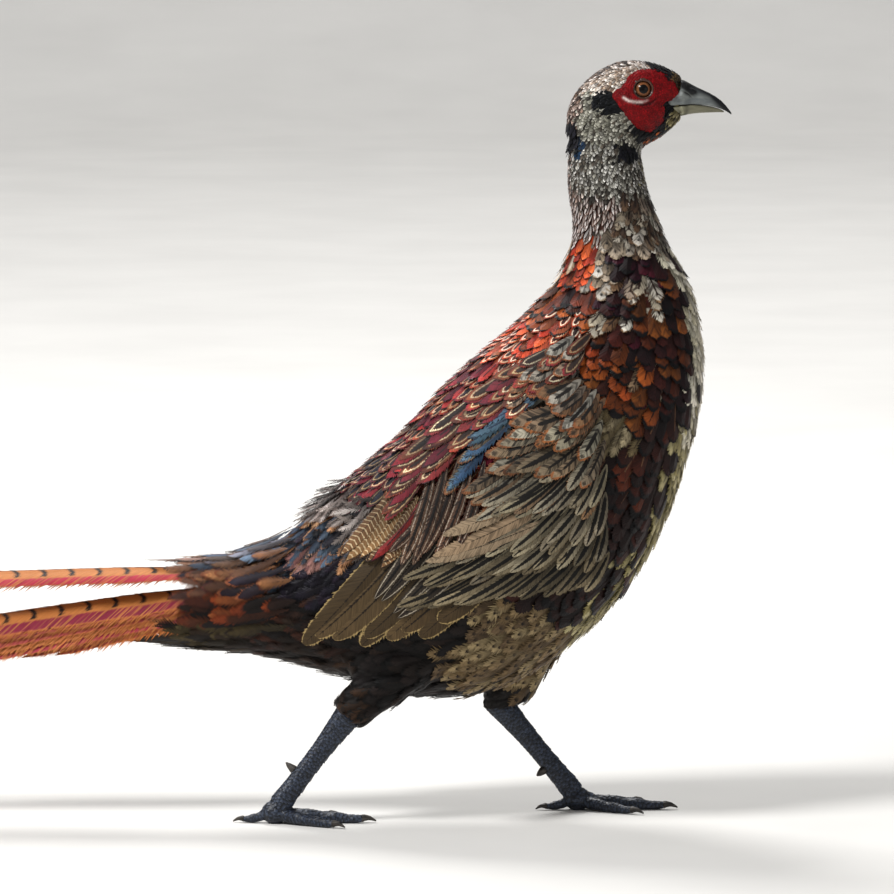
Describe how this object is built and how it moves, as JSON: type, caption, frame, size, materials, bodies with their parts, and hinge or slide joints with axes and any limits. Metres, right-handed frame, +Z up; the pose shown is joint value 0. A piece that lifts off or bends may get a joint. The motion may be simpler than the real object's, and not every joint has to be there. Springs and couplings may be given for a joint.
{
  "type": "common pheasant",
  "caption": "Life-size still model of a young cock common pheasant in moult, walking, head up and long tail held level.",
  "frame": {"origin": "centre of the bounding box in plan, at the level of the soles", "axes": "+X from tail to bill, the way the bird walks; +Y towards its left side; +Z up"},
  "size_m": [0.6816, 0.1402, 0.4406],
  "materials": {
    "plumage_pale": "matt, downy",
    "plumage_chestnut": "satin, downy",
    "plumage_barred": "satin",
    "plumage_coppery": "satin",
    "plumage_dark": "matt, downy",
    "horn": "semi-matt",
    "leg_skin": "semi-matt, scaled",
    "claw_horn": "semi-matt",
    "eye": "wet gloss"
  },
  "bodies": {
    "root": {"torso": "plumage_chestnut", "head": "plumage_pale", "neck": "plumage_pale", "tail": "plumage_coppery", "bill_upper": "horn", "bill_lower": "horn", "eye_right": "eye", "wing_right": "plumage_barred", "thigh_right": "plumage_dark", "shank_right": "leg_skin", "spur_right": "claw_horn", "foot_right": "leg_skin", "claw_right_middle": "claw_horn", "claw_right_inner": "claw_horn", "claw_right_outer": "claw_horn", "claw_right_hind": "claw_horn", "eye_left": "eye", "wing_left": "plumage_barred", "thigh_left": "plumage_dark", "shank_left": "leg_skin", "spur_left": "claw_horn", "foot_left": "leg_skin", "claw_left_middle": "claw_horn", "claw_left_inner": "claw_horn", "claw_left_outer": "claw_horn", "claw_left_hind": "claw_horn"}
  },
  "joints": []
}
